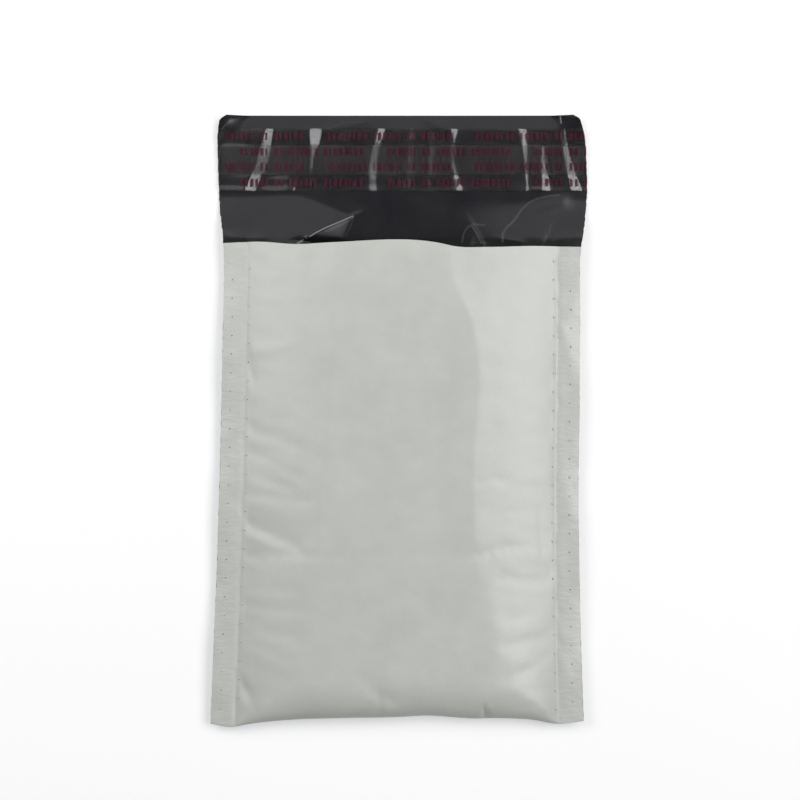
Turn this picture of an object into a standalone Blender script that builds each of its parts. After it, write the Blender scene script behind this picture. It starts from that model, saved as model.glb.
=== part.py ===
"""A padded mailing envelope, lying flat on its back with its flap open.

The pouch is one web of plastic film: the front panel, the fold at the bottom, the back
panel, and the flap that runs on past the mouth. Both sides are heat welded and pin holed.
A second web, of bubble film, lines it. The flap carries a band of adhesive under a
release strip.

Every sheet is a flat grid bent by the functions below. Across the web, u is the distance
from its middle. Along the web, v counts the legs that the web runs through: 0 to 1 down
the front, 1 to 2 round the bottom fold, 2 to 3 up the back, and 3 to 4 along the flap.

Metres. X is across, +Y points to the flap and +Z is up. The origin is on the table, under
the middle of the opened envelope.
"""

import math

import bmesh
import bpy
from mathutils import Matrix, Vector

# The flat web
FLAT_WIDTH = 0.115
POUCH_LENGTH = 0.150
FLAP_LENGTH = 0.040
FILM = 0.0002
LINING_SHEET = 0.0002
LAYER_GAP = 0.0003

# The bubble film that lines the pouch
BUBBLE_WIDTH = 0.010
BUBBLE_CROWN = 0.0064
BUBBLE_HEIGHT = 0.0024
BUBBLE_PITCH = 0.012
BUBBLE_SINK = 0.00005
BUBBLE_SIDES = 6
BUBBLE_SIDE_MARGIN = 0.020
BUBBLE_END_MARGIN = 0.007
LINING_EDGE = 0.0025
LINING_SETBACK = 0.001
POCKET_HEIGHT = 0.0048

# The welded side seams and their pin holes
SEAM_WIDTH = 0.0096
WELD_CORE = 0.0004
WELD_INSET = 0.0003
SEAM_LEVEL = 0.0036
SEAM_DROOP = 0.0006
PIN_WIDTH = 0.00056
PIN_SIDES = 6
PIN_PITCH = 0.0058
PIN_END_MARGIN = 0.004
OUTER_PIN_ROW = 0.0027
INNER_PIN_ROW = 0.0084

# How the padding shapes the pouch
PILLOW_REACH = 0.0235
PILLOW_BREAK_SHARE = 0.4
FOLD_LENGTH_RATIO = 2.4
SIDE_DRAW_IN = 0.0018
STRAIGHT_SIDE = 0.070
BOTTOM_DRAW_IN = 0.003

# The flap and what it carries
FLAP_SETTLE_LENGTH = 0.024
FLAP_SETTLE_SHARE = 0.85
FLAP_CORNER_RADIUS = 0.0025
CORNER_CURL = 0.0030
CORNER_CURL_REACH = 0.014
RIPPLE_HEIGHT = 0.0011
RIPPLE_PITCH = 0.0215
RIPPLE_PHASE = 0.6
LINER_WIDTH = 0.0192
LINER_MARGIN = 0.0042
LINER_FILM = 0.0002
ADHESIVE_WIDTH = 0.009
ADHESIVE_THICKNESS = 0.0003

# Ridges in the film, each as its two ends and its strength. An end is a share of the half
# width across, and a share of the way from the mouth to the bottom, or to the flap's end.
# Those on the front stand clear of the lining, which stays smooth under them.
CREASE_HEIGHT = 0.0010
CREASE_REACH = 0.0038
FRONT_CREASES = (
    ((-0.80, 0.21), (-0.50, 0.21), 0.8),
    ((-0.75, 0.39), (-0.52, 0.43), 1.0),
    ((-0.78, 0.49), (-0.52, 0.49), 0.9),
    ((-0.83, 0.61), (-0.50, 0.65), 1.5),
    ((0.42, 0.47), (0.59, 0.47), 0.8),
    ((0.49, 0.54), (0.66, 0.53), 0.8),
    ((0.42, 0.61), (0.80, 0.61), 1.1),
    ((0.54, 0.68), (0.80, 0.67), 1.0),
    ((0.59, 0.89), (0.80, 0.81), 1.0),
    ((-0.12, 0.92), (-0.03, 0.97), 1.0),
    ((0.37, 0.93), (0.45, 0.97), 1.1),
)
FLAP_CREASES = (
    ((-0.52, 0.02), (-0.26, 0.22), 2.2),
    ((0.35, 0.02), (0.40, 0.15), 1.6),
    ((0.40, 0.15), (0.57, 0.12), 1.8),
    ((0.57, 0.12), (0.64, 0.30), 1.8),
    ((0.64, 0.30), (0.85, 0.40), 1.4),
)

# How finely the sheets are cut up
SEAM_STEPS = 3
PILLOW_STEPS = (0.0, 0.07, 0.16, 0.28, 0.44, 0.64, 0.82)
MIDDLE_STEPS = 3
FRONT_STEPS = 22
FOLD_STEPS = 8
BACK_STEPS = 6
LINING_PILLOW_STEPS = (0.25, 0.44, 0.68)
LINING_STEPS = 4

# Levels and places that follow from the sizes above
HALF_WIDTH = FLAT_WIDTH / 2
WELD_LINE = HALF_WIDTH - SEAM_WIDTH
FULL_LINE = WELD_LINE - PILLOW_REACH
MOUTH_Y = (POUCH_LENGTH - FLAP_LENGTH) / 2
BOTTOM_Y = MOUTH_Y - POUCH_LENGTH
WELD_SPREAD = (WELD_CORE + FILM) / 2
LINING_DEPTH = FILM / 2 + LAYER_GAP + LINING_SHEET / 2
PADDED_DEPTH = 2 * (LINING_DEPTH + BUBBLE_HEIGHT) + LINING_SHEET + POCKET_HEIGHT
FRONT_RISE = FILM / 2 + PADDED_DEPTH - SEAM_LEVEL
BACK_DROP = SEAM_LEVEL - FILM / 2
LINER_HIGH = FLAP_LENGTH - LINER_MARGIN
LINER_LOW = LINER_HIGH - LINER_WIDTH
ADHESIVE_LOW = (LINER_LOW + LINER_HIGH - ADHESIVE_WIDTH) / 2
ADHESIVE_HIGH = ADHESIVE_LOW + ADHESIVE_WIDTH
ADHESIVE_LEVEL = FILM / 2 + LAYER_GAP + ADHESIVE_THICKNESS / 2
LINER_LEVEL = ADHESIVE_LEVEL + ADHESIVE_THICKNESS / 2 + LAYER_GAP + LINER_FILM / 2

FRONT, FOLD, BACK, FLAP = 0, 1, 2, 3


def smooth(share):
    """Eases from 0 to 1 while the share goes from 0 to 1."""
    share = min(max(share, 0.0), 1.0)
    return share * share * (3 - 2 * share)


def fullness(u):
    """How far the padding has filled the pouch: 0 on the seams and 1 over the middle.

    The film breaks over the edge of the padding, then falls ever more steeply to the weld.
    """
    outward = min(max((abs(u) - FULL_LINE) / PILLOW_REACH, 0.0), 1.0)
    return 1 - PILLOW_BREAK_SHARE * outward - (1 - PILLOW_BREAK_SHARE) * outward**3


def seam_level(u):
    """The height of the weld's middle, which droops towards the cut edge."""
    outward = max(abs(u) - WELD_LINE, 0.0) / SEAM_WIDTH
    return SEAM_LEVEL - SEAM_DROOP * outward**2


def front_height(u, inset=0.0):
    return WELD_SPREAD + (FRONT_RISE - WELD_SPREAD) * fullness(u) - inset


def back_depth(u, inset=0.0):
    return WELD_SPREAD + (BACK_DROP - WELD_SPREAD) * fullness(u) - inset


def half_plan(y):
    """Half the width seen from above. The padding draws the sides in and the flap lies wide."""
    if y <= MOUTH_Y:
        relaxed = smooth((MOUTH_Y - y - STRAIGHT_SIDE) / (POUCH_LENGTH - STRAIGHT_SIDE))
        return HALF_WIDTH - SIDE_DRAW_IN * (1 - relaxed)
    relaxed = smooth((y - MOUTH_Y) / FLAP_SETTLE_LENGTH)
    into_corner = (y - MOUTH_Y - FLAP_LENGTH + FLAP_CORNER_RADIUS) / FLAP_CORNER_RADIUS
    into_corner = min(max(into_corner, 0.0), 1.0)
    corner = FLAP_CORNER_RADIUS * (1 - math.sqrt(1 - into_corner**2))
    return HALF_WIDTH - SIDE_DRAW_IN * (1 - relaxed) - corner


def across(u, y):
    return u * half_plan(y) / HALF_WIDTH


def crease_height(x, y, creases, length):
    """What the ridges add at one place: each is a soft ridge along a short line.

    The length is that of the panel from the mouth, and is negative down the front.
    """

    def in_plan(end):
        return Vector((end[0] * HALF_WIDTH, MOUTH_Y + end[1] * length))

    place = Vector((x, y))
    height = 0.0
    for first, last, strength in creases:
        start = in_plan(first)
        run = in_plan(last) - start
        share = min(max((place - start).dot(run) / run.dot(run), 0.0), 1.0)
        away = (place - start - share * run).length
        height += strength * CREASE_HEIGHT * math.exp(-((away / CREASE_REACH) ** 2))
    return height


def pouch_point(u, v, inset=0.0, setback=0.0):
    """A point of the pouch's web, or of one that runs inside it at the given inset."""
    front, back = front_height(u, inset), back_depth(u, inset)
    fold_length = FOLD_LENGTH_RATIO * math.sqrt(front * back)
    bottom = BOTTOM_Y + BOTTOM_DRAW_IN * fullness(u) + 2 * inset
    mouth = MOUTH_Y - setback
    leg = min(int(v), BACK)
    share = v - leg
    if leg == FOLD:
        turn = math.pi * share
        y = bottom + fold_length * (1 - math.sin(turn))
        lift = math.cos(turn) * (front if turn < math.pi / 2 else back)
    elif leg == FRONT:
        y = mouth + (bottom + fold_length - mouth) * share
        lift = front
    else:
        y = bottom + fold_length + (mouth - bottom - fold_length) * share
        lift = -back
    return Vector((across(u, y), y, seam_level(u) + lift))


def flap_point(u, along, level=0.0):
    """A point on the flap at a distance from the mouth, or a given height above it."""
    y = MOUTH_Y + along
    x = across(u, y)
    rest = FILM / 2
    hinge = seam_level(u) - back_depth(u)
    settled = 1 - FLAP_SETTLE_SHARE * smooth(along / FLAP_SETTLE_LENGTH)
    loose = smooth(along / LINER_LOW)
    ripple = RIPPLE_HEIGHT * loose * math.sin(math.pi * u / RIPPLE_PITCH + RIPPLE_PHASE) ** 2
    from_corner = math.hypot(HALF_WIDTH - abs(u), FLAP_LENGTH - along)
    curl = CORNER_CURL * max(1 - from_corner / CORNER_CURL_REACH, 0.0) ** 2
    away = smooth(4 * along / LINER_LOW)
    crumple = away * crease_height(x, y, FLAP_CREASES, FLAP_LENGTH)
    z = rest + (hinge - rest) * settled + ripple + curl + crumple + level
    return Vector((x, y, z))


def film_point(u, v):
    """A point of the outer web, with its ridges."""
    if v > FLAP:
        return flap_point(u, (v - FLAP) * FLAP_LENGTH)
    point = pouch_point(u, v)
    above_seam = max((point.z - seam_level(u)) / front_height(u), 0.0)
    ridges = crease_height(point.x, point.y, FRONT_CREASES, -POUCH_LENGTH)
    point.z += above_seam * fullness(u) * ridges
    return point


def lining_point(u, v):
    return pouch_point(u, v, inset=LINING_DEPTH, setback=LINING_SETBACK)


def steps(start, end, count):
    """Evenly spaced places from just after the start to the end."""
    return [start + (end - start) * (i + 1) / count for i in range(count)]


def mirrored(right):
    """Places across the web from those on its right half, which end at the middle."""
    return [-u for u in right[:-1]] + [0.0] + right[-2::-1]


def collection(name):
    made = bpy.data.collections.new(name)
    bpy.context.scene.collection.children.link(made)
    return made


def material(name, colour, roughness, alpha=1.0):
    made = bpy.data.materials.new(name)
    made.use_nodes = True
    shader = made.node_tree.nodes["Principled BSDF"]
    shader.inputs["Base Color"].default_value = (*colour, 1.0)
    shader.inputs["Roughness"].default_value = roughness
    shader.inputs["Metallic"].default_value = 0.0
    shader.inputs["Alpha"].default_value = alpha
    return made


def add_object(name, mesh, group, materials=()):
    made = bpy.data.objects.new(name, mesh)
    for finish in materials:
        mesh.materials.append(finish)
    group.objects.link(made)
    return made


def add_cutter(name, mesh, group):
    made = add_object(name, mesh, group)
    made.hide_render = True
    made.display_type = "WIRE"
    return made


def add_sheet(bm, columns, rows, place):
    """Adds a flat grid and bends it: each vertex goes where place(column, row) says."""
    right, up = len(columns) - 1, len(rows) - 1
    grid = bmesh.ops.create_grid(bm, x_segments=right, y_segments=up, size=0.5)
    for vert in grid["verts"]:
        column = round((vert.co.x + 0.5) * right)
        row = round((vert.co.y + 0.5) * up)
        vert.co = place(columns[column], rows[row])


def sheet_mesh(name, columns, rows, place):
    bm = bmesh.new()
    add_sheet(bm, columns, rows, place)
    mesh = bpy.data.meshes.new(name)
    bm.to_mesh(mesh)
    bm.free()
    mesh.shade_smooth()
    return mesh


def thicken(sheet, thickness, inner_material=0):
    """Gives a sheet its thickness, half to each side."""
    solidify = sheet.modifiers.new("thickness", "SOLIDIFY")
    solidify.thickness = thickness
    solidify.offset = 0.0
    solidify.material_offset = inner_material


def combine(body, tool, operation):
    boolean = body.modifiers.new(tool.name, "BOOLEAN")
    boolean.operation = operation
    boolean.solver = "EXACT"
    boolean.object = tool


def web_columns():
    """Places across the outer web: close together on the seams and where it rises."""
    seam = [HALF_WIDTH] + steps(HALF_WIDTH, WELD_LINE, SEAM_STEPS)[:-1]
    rise = [WELD_LINE - PILLOW_REACH * share for share in PILLOW_STEPS]
    middle = [FULL_LINE] + steps(FULL_LINE, 0.0, MIDDLE_STEPS)
    return mirrored(seam + rise + middle)


def flap_rows():
    """Distances from the mouth, with a row on each edge of the adhesive and the liner."""
    rows = steps(0.0, LINER_LOW, 5)
    rows += steps(LINER_LOW, ADHESIVE_LOW, 1)
    rows += steps(ADHESIVE_LOW, ADHESIVE_HIGH, 2)
    rows += steps(ADHESIVE_HIGH, LINER_HIGH, 1)
    corner = FLAP_LENGTH - FLAP_CORNER_RADIUS
    rows += [corner, corner + 0.7 * FLAP_CORNER_RADIUS, FLAP_LENGTH]
    return rows


def front_shares():
    return [0.0] + steps(0.0, 1.0, FRONT_STEPS)


def web_rows():
    rows = front_shares() + steps(FOLD, BACK, FOLD_STEPS) + steps(BACK, FLAP, BACK_STEPS)
    return rows + [FLAP + along / FLAP_LENGTH for along in flap_rows()]


def weld_mesh():
    """The welded strip between the two films of each side seam."""
    inner = WELD_LINE
    columns = [HALF_WIDTH - WELD_INSET] + steps(HALF_WIDTH, inner, SEAM_STEPS)
    rows = front_shares()
    rows[0] = WELD_INSET / POUCH_LENGTH

    def place(side):
        def weld_point(u, v):
            film = pouch_point(side * u, v)
            film.z = seam_level(u)
            return film

        return weld_point

    bm = bmesh.new()
    for side in (-1, 1):
        add_sheet(bm, columns, rows, place(side))
    mesh = bpy.data.meshes.new("seam_welds")
    bm.to_mesh(mesh)
    bm.free()
    return mesh


def pin_mesh():
    """The pins of both rows on both seams. The inner row lies half a pitch from the outer."""
    bm = bmesh.new()
    length = 4 * (WELD_CORE + 2 * FILM)
    count = int((POUCH_LENGTH - 2 * PIN_END_MARGIN) / PIN_PITCH - 0.5) + 1
    for side in (-1, 1):
        for inset, stagger in ((OUTER_PIN_ROW, 0.0), (INNER_PIN_ROW, 0.5)):
            u = side * (HALF_WIDTH - inset)
            for i in range(count):
                y = MOUTH_Y - PIN_END_MARGIN - (i + stagger) * PIN_PITCH
                centre = Vector((across(u, y), y, seam_level(u)))
                bmesh.ops.create_cone(
                    bm,
                    cap_ends=True,
                    segments=PIN_SIDES,
                    radius1=PIN_WIDTH / 2,
                    radius2=PIN_WIDTH / 2,
                    depth=length,
                    matrix=Matrix.Translation(centre),
                )
    mesh = bpy.data.meshes.new("pins")
    bm.to_mesh(mesh)
    bm.free()
    return mesh


def make_outer_film(parts, cutters):
    """The pale web with its dark inner side: front, fold, back and flap in one piece."""
    pale = material("pale film", (0.54, 0.56, 0.52), 0.36)
    dark = material("dark film", (0.035, 0.033, 0.037), 0.42)
    mesh = sheet_mesh("outer_film", web_columns(), web_rows(), film_point)
    film = add_object("outer_film", mesh, parts, (dark, pale))
    thicken(film, FILM, inner_material=1)
    welds = add_cutter("seam_welds", weld_mesh(), cutters)
    thicken(welds, WELD_CORE + FILM)
    combine(film, welds, "UNION")
    combine(film, add_cutter("pins", pin_mesh(), cutters), "DIFFERENCE")


def bubble_places():
    """Where the bubbles stand on the lining: a staggered pattern on each panel."""
    widest = WELD_LINE - BUBBLE_SIDE_MARGIN
    row_pitch = BUBBLE_PITCH * math.sqrt(3) / 2
    fold_length = FOLD_LENGTH_RATIO * math.sqrt(FRONT_RISE * BACK_DROP)
    length = POUCH_LENGTH - fold_length - BOTTOM_DRAW_IN - 2 * BUBBLE_END_MARGIN
    rows = int(length / row_pitch) + 1
    for row in range(rows):
        down = BUBBLE_END_MARGIN + row * row_pitch
        offset = 0.5 * (row % 2)
        reach = int(widest / BUBBLE_PITCH - offset)
        for i in range(-reach - (row % 2), reach + 1):
            yield (i + offset) * BUBBLE_PITCH, down


def bubble_mesh():
    """The bubbles as flat-topped cones that stand on the lining and point into the pocket."""
    bm = bmesh.new()
    step = BUBBLE_WIDTH / 4
    depth = BUBBLE_HEIGHT + BUBBLE_SINK
    for u, down in bubble_places():
        for leg in (FRONT, BACK):
            top, low = lining_point(u, leg).y, lining_point(u, leg + 1).y
            target = MOUTH_Y - down

            def share(y, top=top, low=low, leg=leg):
                return leg + min(max((y - top) / (low - top), 0.0), 0.999)

            at = lining_point(u, share(target))
            right = lining_point(u + step, share(target)) - lining_point(u - step, share(target))
            up = lining_point(u, share(target + step)) - lining_point(u, share(target - step))
            inward = right.cross(up).normalized()
            if leg == FRONT:
                inward.negate()
            turn = inward.to_track_quat("Z", "Y").to_matrix().to_4x4()
            centre = at + inward * (LINING_SHEET / 2 + depth / 2 - BUBBLE_SINK)
            bmesh.ops.create_cone(
                bm,
                cap_ends=True,
                segments=BUBBLE_SIDES,
                radius1=BUBBLE_WIDTH / 2,
                radius2=BUBBLE_CROWN / 2,
                depth=depth,
                matrix=Matrix.Translation(centre) @ turn,
            )
    mesh = bpy.data.meshes.new("bubbles")
    bm.to_mesh(mesh)
    bm.free()
    return mesh


def make_lining(parts, cutters):
    """The bubble film inside the pouch, folded once at the bottom."""
    edge = WELD_LINE - LINING_EDGE
    rise = [WELD_LINE - PILLOW_REACH * share for share in LINING_PILLOW_STEPS]
    right = [edge] + [u for u in rise if u < edge] + [FULL_LINE, 0.0]
    rows = [0.0] + steps(FRONT, FOLD, LINING_STEPS) + steps(FOLD, BACK, FOLD_STEPS)
    rows += steps(BACK, FLAP, LINING_STEPS)
    clear = material("bubble film", (0.62, 0.66, 0.66), 0.25, alpha=0.6)
    mesh = sheet_mesh("bubble_lining", mirrored(right), rows, lining_point)
    lining = add_object("bubble_lining", mesh, parts, (clear,))
    thicken(lining, LINING_SHEET)
    combine(lining, add_cutter("bubbles", bubble_mesh(), cutters), "UNION")


def make_flap_band(name, low, high, level, thickness, finish, parts):
    """A strip that lies along the flap from side to side, at its own height above it."""
    rows = [along for along in flap_rows() if low - FILM < along < high + FILM]

    def place(u, along):
        return flap_point(u, along, level)

    band = add_object(name, sheet_mesh(name, web_columns(), rows, place), parts, (finish,))
    thicken(band, thickness)


def main():
    for old in list(bpy.data.objects):
        bpy.data.objects.remove(old, do_unlink=True)
    parts = collection("padded_envelope")
    cutters = collection("cutters")
    make_outer_film(parts, cutters)
    make_lining(parts, cutters)
    make_flap_band(
        "adhesive_strip",
        ADHESIVE_LOW,
        ADHESIVE_HIGH,
        ADHESIVE_LEVEL,
        ADHESIVE_THICKNESS,
        material("hot melt adhesive", (0.30, 0.28, 0.24), 0.30, alpha=0.7),
        parts,
    )
    make_flap_band(
        "release_liner",
        LINER_LOW,
        LINER_HIGH,
        LINER_LEVEL,
        LINER_FILM,
        material("clear release film", (0.35, 0.35, 0.35), 0.15, alpha=0.4),
        parts,
    )


main()
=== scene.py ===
# %% [markdown]
# # A padded mailing envelope
#
# A mailer like this is two webs of plastic film, one inside the other. The outer web is pale
# outside and dark grey inside. It is folded once at the bottom, welded along both sides, and its
# back panel runs on past the mouth as the flap. The inner web is bubble film. Nothing here is a
# box or a cylinder: each piece is a flat sheet that has been bent, so each one starts as a flat
# grid, and one function says where every point of that grid goes.

# %% Load the frame
import math

import bmesh
import bpy
import numpy as np
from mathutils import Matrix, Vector, noise


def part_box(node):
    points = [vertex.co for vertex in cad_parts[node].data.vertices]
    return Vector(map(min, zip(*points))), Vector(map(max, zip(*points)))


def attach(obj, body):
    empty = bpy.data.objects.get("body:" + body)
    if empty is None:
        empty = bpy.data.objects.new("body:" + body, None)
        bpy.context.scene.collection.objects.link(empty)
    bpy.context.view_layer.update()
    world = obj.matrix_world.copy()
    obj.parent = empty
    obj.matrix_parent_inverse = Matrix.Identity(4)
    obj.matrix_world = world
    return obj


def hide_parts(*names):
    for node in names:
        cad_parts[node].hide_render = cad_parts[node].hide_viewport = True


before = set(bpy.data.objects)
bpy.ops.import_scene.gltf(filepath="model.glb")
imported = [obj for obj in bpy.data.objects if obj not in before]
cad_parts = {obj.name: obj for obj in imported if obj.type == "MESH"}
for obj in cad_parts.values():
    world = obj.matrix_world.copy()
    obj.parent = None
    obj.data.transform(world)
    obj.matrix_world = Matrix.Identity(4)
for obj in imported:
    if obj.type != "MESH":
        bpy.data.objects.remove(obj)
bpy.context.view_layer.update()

# %% [markdown]
# ## Sizes from the frame
#
# The solids of the frame give the places that the pieces must keep: how wide the web is, where
# the mouth and the fold lie, and how high the padding lifts the front panel.

# %% Read the sizes of the frame
FILM_LOW, FILM_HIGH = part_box("outer_film")
LINING_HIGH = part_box("bubble_lining")[1]
LINER_LOW, LINER_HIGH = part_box("release_liner")
GLUE_LOW, GLUE_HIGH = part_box("adhesive_strip")

FILM = 0.00014
HALF_WIDTH = (FILM_HIGH.x - FILM_LOW.x) / 2
BOTTOM_Y = FILM_LOW.y
TOP_Y = FILM_HIGH.y
LINING_SETBACK = 0.001
MOUTH_Y = LINING_HIGH.y + LINING_SETBACK
FLAP_LENGTH = TOP_Y - MOUTH_Y
SEAM_WIDTH = 0.0074
WELD_LINE = HALF_WIDTH - SEAM_WIDTH
SEAM_LEVEL = 0.0036
WELD_SPREAD = 0.00022
LEAST_GAP = 0.00008
FRONT_GAP = 0.0004
FRONT_LEVEL = LINING_HIGH.z + FRONT_GAP
BACK_LEVEL = FILM / 2
print("web", round(2 * HALF_WIDTH, 4), "wide, mouth at", round(MOUTH_Y, 4))

# %% [markdown]
# ## Curves through a few points
#
# The outline of a soft pouch is not straight. A handful of points, each measured on the real
# one, is enough if a smooth curve is drawn through them. This is a cubic Hermite curve whose
# slope at each point is that of the chord between its two neighbours.

# %% A smooth curve through named points
def curve_through(points, at):
    """The smooth curve through (place, value) points, read at an array of places."""
    place = np.array([p[0] for p in points])
    value = np.array([p[1] for p in points])
    slope = np.gradient(value, place)
    at = np.clip(at, place[0], place[-1])
    i = np.clip(np.searchsorted(place, at) - 1, 0, len(place) - 2)
    step = place[i + 1] - place[i]
    t = (at - place[i]) / step
    keep, rise = (1 + 2 * t) * (1 - t) ** 2, t * t * (3 - 2 * t)
    lean_in, lean_out = t * (1 - t) ** 2, t * t * (t - 1)
    return (
        keep * value[i] + rise * value[i + 1]
        + step * (lean_in * slope[i] + lean_out * slope[i + 1])
    )


def smooth(share):
    """Eases from 0 to 1 while the share goes from 0 to 1."""
    share = np.clip(share, 0.0, 1.0)
    return share * share * (3 - 2 * share)


# %% [markdown]
# ## The outline
#
# The padding draws the two sides in below the mouth. They run out again to the bottom corners,
# and the flap lies at the web's full width. The left and right edges are given as (y, x) pairs,
# and the mouth and bottom edges as (x, y) pairs, all in metres.

# %% The outline of the pouch and the flap
LEFT_EDGE = (
    (-0.0950, -0.0592), (-0.0864, -0.0588), (-0.0679, -0.0580), (-0.0494, -0.0572),
    (-0.0309, -0.0566), (-0.0123, -0.0560), (0.0062, -0.0557), (0.0339, -0.0551),
    (0.0546, -0.0551), (0.0586, -0.0554), (0.0648, -0.0563), (0.0710, -0.0567),
    (0.0800, -0.0570), (0.0907, -0.0569), (0.0925, -0.0566), (0.0937, -0.0562),
    (0.0944, -0.0555), (0.0951, -0.0541),
)
RIGHT_EDGE = (
    (-0.0950, 0.0570), (-0.0864, 0.0566), (-0.0679, 0.0561), (-0.0494, 0.0557),
    (-0.0216, 0.0554), (0.0062, 0.0557), (0.0339, 0.0559), (0.0546, 0.0563),
    (0.0586, 0.0570), (0.0648, 0.0578), (0.0710, 0.0583), (0.0800, 0.0581),
    (0.0895, 0.0573), (0.0920, 0.0566), (0.0935, 0.0560), (0.0945, 0.0550),
    (0.0951, 0.0537),
)
BOTTOM_EDGE = (
    (-0.0575, -0.0945), (-0.0500, -0.0953), (-0.0470, -0.0947), (-0.0341, -0.0932),
    (-0.0187, -0.0926), (0.0029, -0.0921), (0.0076, -0.0918), (0.0245, -0.0927),
    (0.0307, -0.0926), (0.0430, -0.0933), (0.0483, -0.0943), (0.0575, -0.0936),
)
MOUTH_EDGE = (
    (-0.0575, 0.0550), (-0.0464, 0.0553), (-0.0332, 0.0543), (-0.0233, 0.0547),
    (0.0113, 0.0546), (0.0168, 0.0535), (0.0276, 0.0534), (0.0430, 0.0539),
    (0.0575, 0.0538),
)

# %% Places across the web
EDGE_WAVER = 0.00016
SLOW_BEATS, FAST_BEATS = (2100, 730), (5300, 1700)
SLOW_SHARE, FAST_SHARE = 0.6, 0.4
WAVER_FADE = 9


def edges(y):
    """The x of the left and of the right edge at each y."""
    return curve_through(LEFT_EDGE, y), curve_through(RIGHT_EDGE, y)


def waver(y, seed):
    """The small unevenness of a cut and welded film edge: two beats, a slow and a fast one."""
    slow = np.sin(SLOW_BEATS[0] * y + seed) * np.sin(SLOW_BEATS[1] * y + 2 * seed)
    fast = FAST_SHARE * np.sin(FAST_BEATS[0] * y + 3 * seed) * np.sin(FAST_BEATS[1] * y)
    return EDGE_WAVER * (SLOW_SHARE * slow + fast)


def across(u, y):
    """The x of a place u across the flat web, at each y. Only the rim wavers."""
    left, right = edges(y)
    share = u / HALF_WIDTH
    straight = (left + right) / 2 + share * (right - left) / 2
    return straight + share**WAVER_FADE * np.where(u < 0, waver(y, 1.0), waver(y, 2.7))


WAIST_Y = 0.030
waist_left, waist_right = edges(WAIST_Y)
print("waist:", round(float(waist_right - waist_left), 4), "m across")

# %% [markdown]
# ## The section of the pillow
#
# Cut across, the pouch is a low plateau with falling sides. The front film breaks over the edge
# of the padding, and that break shows as the boundary between a darker middle and a brighter
# side. So the section has a small kink at the plateau's edge, and then a slope that steepens
# towards the weld.

# %% How full the pouch is at each place
LEFT_BREAK = (
    (-0.0950, -0.027), (-0.0600, -0.025), (-0.0300, -0.0245), (0.0, -0.0225), (0.0546, -0.021),
)
RIGHT_BREAK = (
    (-0.0950, 0.0350), (-0.0800, 0.0316), (-0.0710, 0.0290), (-0.0640, 0.0268),
    (-0.0540, 0.0248), (-0.0447, 0.0241), (-0.0185, 0.0235), (0.0123, 0.0246),
    (0.0247, 0.0230), (0.0349, 0.0196), (0.0401, 0.0170), (0.0509, 0.0150), (0.0546, 0.0146),
)
BREAK_KINK = 0.66
BREAK_SOFTNESS = 0.0007
LOW_BREAK_SOFTNESS, LOW_BREAK_Y, LOW_BREAK_LENGTH = 0.0045, -0.044, 0.026


def fill(u, y):
    """0 on the seams and 1 over the plateau."""
    left, right = curve_through(LEFT_BREAK, y), curve_through(RIGHT_BREAK, y)
    edge = np.where(u < 0, -left, right)
    beyond = np.abs(u) - edge
    softness = BREAK_SOFTNESS + LOW_BREAK_SOFTNESS * smooth((LOW_BREAK_Y - y) / LOW_BREAK_LENGTH)
    eased = 0.5 * (beyond + np.sqrt(beyond**2 + softness**2))
    share = np.clip(eased / (WELD_LINE - edge), 0.0, 1.0)
    return np.clip(1 - BREAK_KINK * share - (1 - BREAK_KINK) * share**3, 0.0, 1.0)


# %% The level of the weld
SEAM_DROOP = 0.0006
SEAM_SWAY = 0.00035
SEAM_SWAY_LENGTH = 0.047
GROOVE_INSET = 0.0072
GROOVE_DEPTH = 0.00012
GROOVE_HALF_WIDTH = 0.0007
GROOVE_WANDER = 0.00035
WANDER_BEATS, DEPTH_BEATS = (510, 170), (940, 330)
DEPTH_SWING = 0.6


def seam_level(u, y):
    """The height of the weld's middle: it droops towards its rim and sways a little."""
    outward = np.clip(np.abs(u) - WELD_LINE, 0.0, None) / SEAM_WIDTH
    sway = SEAM_SWAY * np.sin(2 * math.pi * y / SEAM_SWAY_LENGTH + np.sign(u))
    return SEAM_LEVEL - outward**2 * (SEAM_DROOP - sway)


def groove(u, y):
    """The crushed line where the body meets the weld. It wanders and is deep only in places."""
    side = np.sign(u)
    wander = GROOVE_WANDER * np.sin(WANDER_BEATS[0] * y + 2 * side) * np.sin(WANDER_BEATS[1] * y + side)
    swing = DEPTH_SWING * np.sin(DEPTH_BEATS[0] * y + 3 * side) * np.sin(DEPTH_BEATS[1] * y)
    depth = GROOVE_DEPTH * (1 + swing)
    away = (np.abs(u) - HALF_WIDTH + GROOVE_INSET + wander) / GROOVE_HALF_WIDTH
    return depth * np.exp(-(away**2))


# %% [markdown]
# ## Creases
#
# A crease in film is a line with two unlike sides: steep and narrow on one, broad and soft on
# the other. Each one below is given by its two ends in plan, its height (a valley is negative),
# and how far it reaches to the left and to the right of the line from its start to its end.

# %% The crease function
CREASE_END = 0.0030


def crease(x, y, start, end, height, reach_left, reach_right, sharpness=1.3):
    """The height that one crease adds at each place."""
    run = np.array(end) - np.array(start)
    length = math.hypot(*run)
    run = run / length
    along = (x - start[0]) * run[0] + (y - start[1]) * run[1]
    side = (y - start[1]) * run[0] - (x - start[0]) * run[1]
    past = np.clip(-along, 0.0, None) + np.clip(along - length, 0.0, None)
    reach = np.where(side > 0, reach_left, reach_right)
    return height * np.exp(-((np.abs(side) / reach) ** sharpness) - (past / CREASE_END) ** 2)


def creases(x, y, table):
    return sum(crease(x, y, *row) for row in table)


def beside(x, y, line):
    """How far a place lies to the right of a line, seen from its start to its end."""
    (ax, ay), (bx, by) = line
    length = math.hypot(bx - ax, by - ay)
    return ((x - ax) * (by - ay) - (y - ay) * (bx - ax)) / length


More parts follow.
